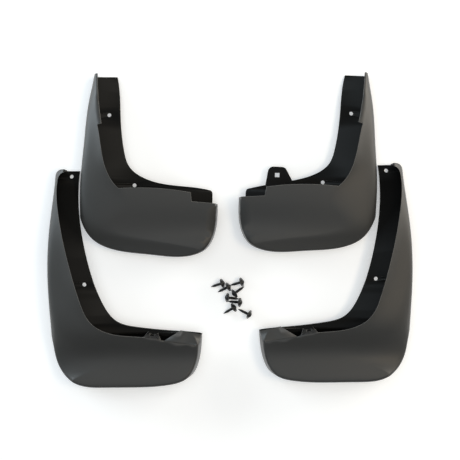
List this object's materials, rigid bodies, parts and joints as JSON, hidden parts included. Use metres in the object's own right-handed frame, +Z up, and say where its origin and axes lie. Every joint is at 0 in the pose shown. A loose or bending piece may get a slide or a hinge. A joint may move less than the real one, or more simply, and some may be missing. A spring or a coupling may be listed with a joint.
{
  "type": "mud flap set",
  "caption": "Set of black moulded plastic mud flaps for front and rear wheel arches, each an L-shaped shell with an open screw channel, laid flat with their washer-head screws.",
  "frame": {"origin": "centre of the set on the ground that it lies on", "axes": "+Z up, +Y towards the arm tips, +X towards the right-hand flaps"},
  "size_m": [0.5196, 0.4484, 0.0486],
  "materials": {
    "flap_plastic": "satin black moulded polypropylene",
    "screw_steel": "black coated steel"
  },
  "bodies": {
    "root": {"front_left_flap": "flap_plastic", "front_right_flap": "flap_plastic", "rear_left_flap": "flap_plastic", "rear_right_flap": "flap_plastic", "screw_1": "screw_steel", "screw_2": "screw_steel", "screw_3": "screw_steel", "screw_4": "screw_steel", "screw_5": "screw_steel", "screw_6": "screw_steel", "screw_7": "screw_steel", "screw_8": "screw_steel"}
  },
  "joints": []
}
